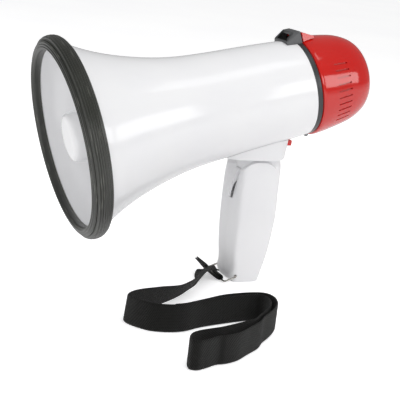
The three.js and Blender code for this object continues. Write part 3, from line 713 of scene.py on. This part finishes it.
# ------------------------------------------------------------------ grip shells
SPLIT = 0.10                  # half the gap between the shells
BAIL_X, BAIL_Z = 7.9, 6.0     # where the bail enters the grip
SCREWS = [(-16.5, 92), (-7, 50), (-6, 15)]    # x, z
FOOT_ROUND, SADDLE_ROUND = 1.2, 1.1           # rounded lower edges
SADDLE_Z = 111.0
SADDLE_X = -8                 # centre of the saddle's rear arc
SADDLE_REAR = 23.4            # its reach to the rear
SADDLE_HALF = 23.3            # half width
# z, rear x, front x, half width, centre x, power of the front curve
GRIP = [
    (1.2, -17.6, 10.3, 17.4, -3, 7), (16.5, -21.5, 11.3, 18.3, -3.5, 8),
    (28, -23.9, 12.6, 18.8, -4, 9), (44, -25.9, 13.7, 19.5, -4, 9),
    (62, -27.2, 14.2, 20.0, -4, 9), (78, -26.8, 14.3, 20.0, -4, 9),
    (90, -26.6, 14.2, 20.0, -4, 8), (101, -26.3, 13.6, 19.8, -4, 7),
    (113, -26.1, 12.6, 19.4, -4, 6)]
# the same columns for the slimmer neck beside the raised panels
NECK = GRIP[:5] + [
    (78, -26.7, 13.6, 19.0, -4, 5), (90, -26.3, 11.6, 16.8, -4, 3.4),
    (101, -26.1, 8.8, 15.4, -4, 2.8), (113, -26.1, 8.0, 15.2, -4, 2.7)]


def station(table, z):
    heights, *columns = zip(*table)
    return [monotone(heights, np.array(column, float), z) for column in columns]


def section(at, angle):
    """Point of a superellipse whose front and rear halves differ."""
    rear, front, half_width, centre, front_power = at
    c, s = math.cos(angle), math.sin(angle)
    power = front_power if c > 0 else 4.0
    scale = (abs(c) ** power + abs(s) ** power) ** (-1 / power)
    reach = front - centre if c > 0 else centre - rear
    return centre + reach * c * scale, half_width * s * scale


def edge_inset(height, radius):
    """How far a rounded lower edge stands in at this height above it."""
    return radius - math.sqrt(radius**2 - (radius - min(height, radius)) ** 2)


def panel_share(x, y, z):
    """1 on the full grip and the raised palm panel, 0 on the neck."""
    # the panel is an arch whose crown meets the saddle
    arch = (1 - (abs(x + 3) / 19.6) ** 2.6 - (max(0, z - 86) / 23.2) ** 2.6) * 7.7
    share = ease((arch + 0.55) / 1.1)
    if x < -10:     # the rear stays full
        share = max(share, ease((-10 - x) / 10) * ease((112 - z) / 8))
    share *= ease((abs(y) - 8) / 5)
    return max(share, ease((78 - z) / 8))


def grip_half(side):
    heights = [0, 0.12, 0.4, 0.8, 1.3, 2.2, 3.5, 5, 6.5, 8, 9.5, 11, 13]
    heights += list(np.arange(16, 76, 3)) + list(np.arange(76, 113.1, 0.55))
    steps = 170
    verts = []
    for z in heights:
        full, slim = [station(table, max(z, FOOT_ROUND)) for table in (GRIP, NECK)]
        centre = full[3]
        flare = 1.3 * math.exp(-((z - 6.5) / 4.5) ** 2)    # front swell near the foot
        inset = edge_inset(z, FOOT_ROUND)
        for k in range(steps + 1):
            angle = math.pi * (k / steps)
            x, y = section(full, angle)
            if x > 0:
                x += flare * min(1, x / 6)
            if z > 70:
                neck_x, neck_y = section(slim, angle)
                share = panel_share(x, y, z)
                x, y = neck_x + (x - neck_x) * share, neck_y + (y - neck_y) * share
            reach = math.hypot(x - centre, y)
            x, y = x - (x - centre) / reach * inset, y - y / reach * inset
            verts.append((x, side * (SPLIT + y * (1 - SPLIT / 20)), z))
    return to_mesh("grip_half", verts, loft_faces(len(heights), steps + 1, half=True))


def saddle_half(side):
    """Half plan lofted upwards; the rear leans out."""
    nose = spline([(SADDLE_X, SADDLE_HALF), (2, 23.2), (12, 22.6), (22, 20.4), (29.5, 15.2),
                   (33.6, 8.5), (35.0, 0)], 6)
    arc = [math.pi / 2 + (math.pi / 2) * i / 24 for i in range(1, 25)]
    plan = nose[::-1] + [(SADDLE_X + SADDLE_REAR * math.cos(a), SADDLE_HALF * math.sin(a))
                         for a in arc]
    heights = [SADDLE_Z, 111.08, 111.3, 111.65, 112.1] + list(np.arange(113, 143, 3))
    verts = []
    for z in heights:
        inset = edge_inset(z - SADDLE_Z, SADDLE_ROUND)
        lean = 0.12 * (z - 113)
        for x, y in plan:
            if x < SADDLE_X:
                x = SADDLE_X + (x - SADDLE_X) * (1 + lean / SADDLE_REAR)
            reach = math.hypot(x, y)
            x, y = x - x / reach * inset, y - y / reach * inset
            verts.append((x, side * (SPLIT + y), z))
    return to_mesh("saddle_half", verts, loft_faces(len(heights), len(plan), half=True))


def grip_shell(side, label):
    shell = grip_half(side)
    shell.name = "grip_shell_" + label
    boolean(shell, 'UNION', [saddle_half(side)])
    seat_front, seat_gap = -60, 0.22
    seat = ([(seat_front, 0)] + [(x, r + seat_gap) for x, r in HORN_OUTSIDE if x < seat_front]
            + [(-213.6, 0)])
    cuts = [
        revolve("seat", seat, 192),
        box(x=(2.0, 30), y=(-5.05, 5.05), z=(73.6, 100.55)),      # trigger slot
        box(x=(-36.5, -21), y=(-6.3, 6.3), z=(118.6, 132)),       # siren button slot
        cross_cylinder(1.25, BAIL_X, BAIL_Z, (side * 12, side * 22))]
    if side < 0:
        cuts += [cross_cylinder(3.0, x, z, (-21, -12.0), seg=40) for x, z in SCREWS]
    boolean(shell, 'DIFFERENCE', cuts)
    piece(shell, SATIN, "housing", "grip_%s_shell" % label)


def trigger():
    # x, z, both from top to bottom and back up
    front = spline([(5.0, 99.4), (8.0, 100.2), (10.4, 99.3), (13.2, 95.2), (15.4, 90.5),
                    (16.9, 84.5), (17.9, 78.6), (18.2, 76.2)], 4)
    rear = spline([(15.9, 75.4), (15.6, 78.8), (14.5, 84.5), (12.2, 88.8), (8.8, 90.4),
                   (5.0, 89.2), (2.4, 87.7), (1.5, 88.6), (2.4, 91.6), (2.6, 94.5),
                   (3.3, 97.6)], 4)
    lever = prism("trigger_lever", front + [(17.9, 75.3), (17.0, 75.0)] + rear, (-4.6, 4.6))
    boolean(lever, 'DIFFERENCE', [cross_cylinder(1.4, x=5.5, z=96, y=(-8, 8))])
    bevel(lever, 0.7, segments=4, angle=40)
    piece(lever, SATIN, "trigger", "trigger")


def siren_button():
    # x, z, corner radius
    tab = prism("siren_tab", fillet([
        (-36.4, 121.6, 0.6), (-36.9, 125.8, 0.5), (-35.8, 126.7, 0.6), (-26.0, 124.2, 0),
        (-26.0, 119.2, 0), (-28.0, 119.2, 0), (-28.0, 121.6, 0)]), (-6.0, 6.0))
    boolean(tab, 'UNION', [box(x=(-26.2, -17.5), y=(-3.4, 3.4), z=(119.2, 121.6))])
    bevel(tab, 0.5, angle=35)
    piece(tab, RED, "siren", "siren_button")


grip_shell(1, "left")
grip_shell(-1, "right")
trigger()
siren_button()


# ------------------------------------------------------------------ bail and strap
def bail_wire():
    bar_x, bar_z, half = 19.0, 1.7, 19.2    # crossbar place, half width of the bail
    left = [
        (BAIL_X, 15.6, BAIL_Z), (BAIL_X, 17.9, BAIL_Z), (BAIL_X + 0.5, half - 0.1, BAIL_Z - 0.2),
        (BAIL_X + 2.2, half + 0.2, BAIL_Z - 0.9),
        ((BAIL_X + bar_x) / 2, half + 0.1, (BAIL_Z + bar_z) / 2),
        (bar_x - 1.6, half - 0.05, bar_z + 0.65), (bar_x - 0.3, half - 0.9, bar_z + 0.12),
        (bar_x, half - 2.6, bar_z), (bar_x, 8, bar_z), (bar_x, 0, bar_z)]
    right = [(x, -y, z) for x, y, z in left[:-1][::-1]]
    wire = tube("bail_wire", spline(left + right, 6), radius=0.85, seg=20)
    piece(wire, WIRE, "bail", "strap_bail")


WEB_WIDTH, WEB_THICK = 22.2, 1.3


def webbing(name, frames):
    """Flat ribbed strap through frames of (centre, width direction, normal)."""
    half, steps = WEB_WIDTH / 2, 22
    profile = [(-half + WEB_WIDTH * k / steps, 1) for k in range(steps + 1)]
    profile += [(half - WEB_WIDTH * k / steps, -1) for k in range(steps + 1)]
    verts, uvs = [], []
    along = 0.0
    for i, (centre, across, normal) in enumerate(frames):
        across, normal = across.normalized(), normal.normalized()
        if i:
            along += (centre - frames[i - 1][0]).length
        for v, face in profile:
            edge = 1 - (abs(v) / half) ** 14
            selvedge = 0.12 * math.exp(-((abs(v) - (half - 1.2)) / 0.5) ** 2)
            rib = 0.05 * math.cos(2 * math.pi * (along + RIB_SLANT * v) / RIB_PITCH)
            h = (WEB_THICK / 2 + selvedge * 0.6 + rib) * max(edge, 0.0) ** 0.5 + 0.02
            verts.append(centre + across * v + normal * (face * h))
            uvs.append((along, v))
    ob = to_mesh(name, verts, loft_faces(len(frames), len(profile)), sharp=60)
    layer = ob.data.uv_layers.new(name="web")
    for loop in ob.data.loops:
        layer.data[loop.index].uv = uvs[loop.vertex_index]
    return ob


# x, y of the strap's lower edge, seen from above
STRAP_PLAN = [
    (27.0, 0.5), (36, 9), (47, 22), (62, 36), (76, 49), (92, 61), (108, 71), (124, 81),
    (135, 90), (139.6, 97), (138, 104.5), (133, 112.5), (126.3, 119.2), (114, 123.6),
    (101, 123.4), (84.1, 117.1), (60, 111.4), (37.4, 108.0), (30.5, 108.6), (27.4, 113.5),
    (28.2, 121.5), (32.7, 130.4), (40.4, 139.9), (51.3, 150.2), (59.6, 158.2), (69.9, 162.6),
    (91.6, 170.6), (111.9, 175.4), (119.5, 179.6), (123.6, 186.2), (124.4, 192.0),
    (120.2, 194.4), (113, 192.3), (101.3, 187.2), (95.8, 187.0), (84.6, 183.4), (70.9, 173.6),
    (56.7, 162.9), (49.8, 154.6), (38, 143.6), (30.2, 135.0), (23.6, 124.6), (21.2, 113.8),
    (24.4, 105.6), (34.1, 103.0), (60, 105.6), (76, 111.6), (90, 117.2), (100, 120.8),
    (109, 121.9)]
# distance along the strap against its lean from upright in degrees, and its lift
STRAP_LEAN = ([0, 10, 22, 38, 58, 80, 110, 150, 400, 500],
              [78, 62, 38, 26, 36, 36, 22, 4, 0, 0])
STRAP_LIFT = ([0, 10, 26, 60], [4.2, 2.6, 0.9, 0.45])


def wrist_strap():
    """Nearly flat by the bail, then rolling up to stand on its edge."""
    step = 0.62
    P = resample(spline(STRAP_PLAN, 10), step)
    up = Vector((0, 0, 1))
    frames = []
    for i, (x, y) in enumerate(P):
        tangent = Vector((*chord(P, i), 0)).normalized()
        side = Vector((-tangent.y, tangent.x, 0))
        along = i * step
        lean = math.radians(monotone(*STRAP_LEAN, along))
        across = up * math.cos(lean) + side * math.sin(lean)
        bottom = monotone(*STRAP_LIFT, along)
        shift = ease(along / 40.0)
        centre = (Vector((x, y, bottom + WEB_WIDTH / 2 * math.cos(lean)))
                  + side * (math.sin(lean) * WEB_WIDTH / 2 * shift))
        frames.append((centre, across, tangent.cross(across)))
    piece(webbing("strap_web", frames), WEB, "housing", "wrist_strap")


def strap_fold():
    """End of the webbing, folded round the bail's crossbar."""
    # x, z
    path = resample(spline([
        (34.2, 15.2), (30.0, 11.6), (25.6, 8.4), (21.6, 5.9), (18.2, 4.5), (16.5, 2.7),
        (17.2, 1.0), (19.2, 0.72), (21.8, 1.6), (25.2, 4.4), (28.6, 7.6), (32.4, 11.4),
        (35.4, 14.2)], 6), 0.5)
    across = Vector((0, 1, 0))
    frames = []
    for i, (x, z) in enumerate(path):
        dx, dz = chord(path, i)
        tangent = Vector((dx, 0, dz)).normalized()
        frames.append((Vector((x, 0, z)), across, tangent.cross(across)))
    fold = webbing("strap_end_fold", frames)
    piece(fold, WEB, "bail", "strap_end_loop")
    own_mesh(fold)


def trigger_spring():
    """Return spring along X."""
    rear_x, z, length = -0.9, 80, 14.6
    radius, wire, turns, steps = 2.4, 0.35, 5, 120
    points = []
    for k in range(steps + 1):
        u = k / steps
        a = 2 * math.pi * turns * u
        points.append((rear_x + wire + length * u, radius * math.cos(a),
                       z + radius * math.sin(a)))
    coil = tube("trigger_coil", points, wire, seg=12)
    piece(coil, STEEL, "housing", "trigger_spring")
    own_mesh(coil)


bail_wire()
wrist_strap()
strap_fold()
trigger_spring()


# ------------------------------------------------------------------ CAD pieces kept as they are
def numbered(stem, count):
    return ["%s_%d" % (stem, i + 1) for i in range(count)]


FINISHES = {
    STEEL: numbered("throat_screw", 3) + ["driver_top_plate", "driver_yoke"]
    + numbered("battery_spring", 4) + ["hinge_pin", "mic_capsule", "potentiometer"]
    + numbered("grip_screw", 3) + numbered("saddle_screw", 4) + ["trigger_pin"],
    FERRITE: ["driver_magnet"],
    FILM: ["diaphragm"],
    PCB: ["amp_board"],
    CELL: numbered("battery_cell", 4),
    BLACK: ["battery_holder", "mic_grille", "trigger_switch", "siren_switch"],
    KNOB: ["volume_knob"],
    CABLE: ["switch_cable"],
}
for finish, names in FINISHES.items():
    for name in names:
        use(CAD[name], finish)
        bevel(CAD[name], 0.18, segments=2, angle=40, harden=False)


# ------------------------------------------------------------------ floor, in metres from here on
def floor_material():
    mat, tree, bsdf = new_material("studio_floor")
    colour = ramp(tree, noise(tree, scale=3),
                  (0.3, lin((246, 246, 247))), (0.7, lin((249, 249, 249))))
    to_camera = node(tree, 'ShaderNodeLightPath').outputs['Is Camera Ray']
    feed(tree, bsdf, {
        'Base Color': colour,
        'Roughness': 0.85,
        'Specular IOR Level': 0.1,
        'Emission Color': colour,
        # glows more for the camera than it lights the product
        'Emission Strength': map_range(tree, to_camera, source=(0, 1), target=(0.14, 0.5))})
    return mat


bpy.ops.mesh.primitive_plane_add(size=12, location=(0, 0, 0))
floor = bpy.context.object
floor.name = "floor"
use(floor, floor_material())

# ------------------------------------------------------------------ lights
CENTRE = Vector((0.03, 0.03, 0.12))


def toward(azimuth, elevation, distance):
    """A place seen from CENTRE; angles in degrees."""
    a, e = math.radians(azimuth), math.radians(elevation)
    direction = Vector((math.cos(a) * math.cos(e), math.sin(a) * math.cos(e), math.sin(e)))
    return CENTRE + direction * distance


def area_light(name, place, aim, size, watts):
    light = bpy.data.lights.new(name, 'AREA')
    light.shape = 'RECTANGLE'
    light.size, light.size_y = size
    light.energy = watts
    ob = bpy.data.objects.new(name, light)
    scene.collection.objects.link(ob)
    ob.location = place
    ob.rotation_euler = (Vector(aim) - Vector(place)).to_track_quat('-Z', 'Y').to_euler()
    return ob


# soft lights, kept out of reflections: name, (azimuth, elevation, distance), aim, size, watts
for name, polar, aim, size, watts in (
        ("key", (131, 21, 1.5), CENTRE, (1.35, 0.86), 3.5),
        ("over", (128, 66, 1.5), CENTRE, (1.5, 1.1), 8.5),
        ("back", (-60, 55, 1.6), CENTRE, (1.6, 1.2), 3.0),
        ("fill", (62, 12, 1.4), CENTRE, (0.9, 0.9), 2.6),
        ("front", (14, 9, 1.3), (-0.06, 0.0, 0.22), (0.7, 0.7), 2.4)):
    area_light(name, toward(*polar), aim, size, watts).visible_glossy = False

# lights for the highlights on the glossy plastics: name, place, aim, size, watts
for glint in (
        ("glint_low", (-0.45, 0.41, 0.34), (-0.36, 0.0, 0.30), (0.50, 0.22), 1.05),
        ("glint_high", (-0.12, 0.16, 0.70), (-0.02, 0.0, 0.0), (0.16, 0.16), 0.13),
        ("glint_rear", (0.02, 0.62, 0.36), (-0.02, 0.0, 0.22), (0.20, 0.20), 0.42)):
    light_object = area_light(*glint)
    light_object.visible_diffuse = False
    light_object.visible_camera = False


def studio_world():
    """White surroundings, dimmer towards +Y and at half strength in reflections."""
    world = bpy.data.worlds.new("studio")
    scene.world = world
    world.use_nodes = True
    tree = world.node_tree
    tree.nodes.clear()
    output = node(tree, 'ShaderNodeOutputWorld')
    direction = node(tree, 'ShaderNodeTexCoord').outputs['Generated']
    dim_direction = Vector((0.15, 0.97, -0.05)).normalized()
    facing = node(tree, 'ShaderNodeVectorMath', {0: direction, 1: dim_direction},
                  operation='DOT_PRODUCT').outputs['Value']
    level = map_range(tree, facing, source=(0.35, 0.95), target=(0.52, 0.40),
                      interpolation_type='SMOOTHSTEP')
    glossy = node(tree, 'ShaderNodeLightPath').outputs['Is Glossy Ray']
    share = calc(tree, 'MULTIPLY_ADD', glossy, -0.5, 1.0)
    background = node(tree, 'ShaderNodeBackground', {
        'Strength': calc(tree, 'MULTIPLY', level, share), 'Color': (1, 1, 1, 1)})
    feed(tree, output, {0: background.outputs[0]})


def camera():
    data = bpy.data.cameras.new("cam")
    data.sensor_width = 36
    data.lens = 99.58
    data.clip_start = 0.01
    data.clip_end = 50
    ob = bpy.data.objects.new("cam", data)
    scene.collection.objects.link(ob)
    right = Vector((-0.9130, 0.3925, 0.1111))
    up = Vector((0.0029, -0.2660, 0.9640))
    pose = Matrix((right, up, right.cross(up))).transposed().to_4x4()
    pose.translation = Vector((0.43274, 0.84267, 0.30163))
    ob.matrix_world = pose
    scene.camera = ob


studio_world()
camera()
scene.view_settings.view_transform = 'Standard'
scene.view_settings.look = 'None'
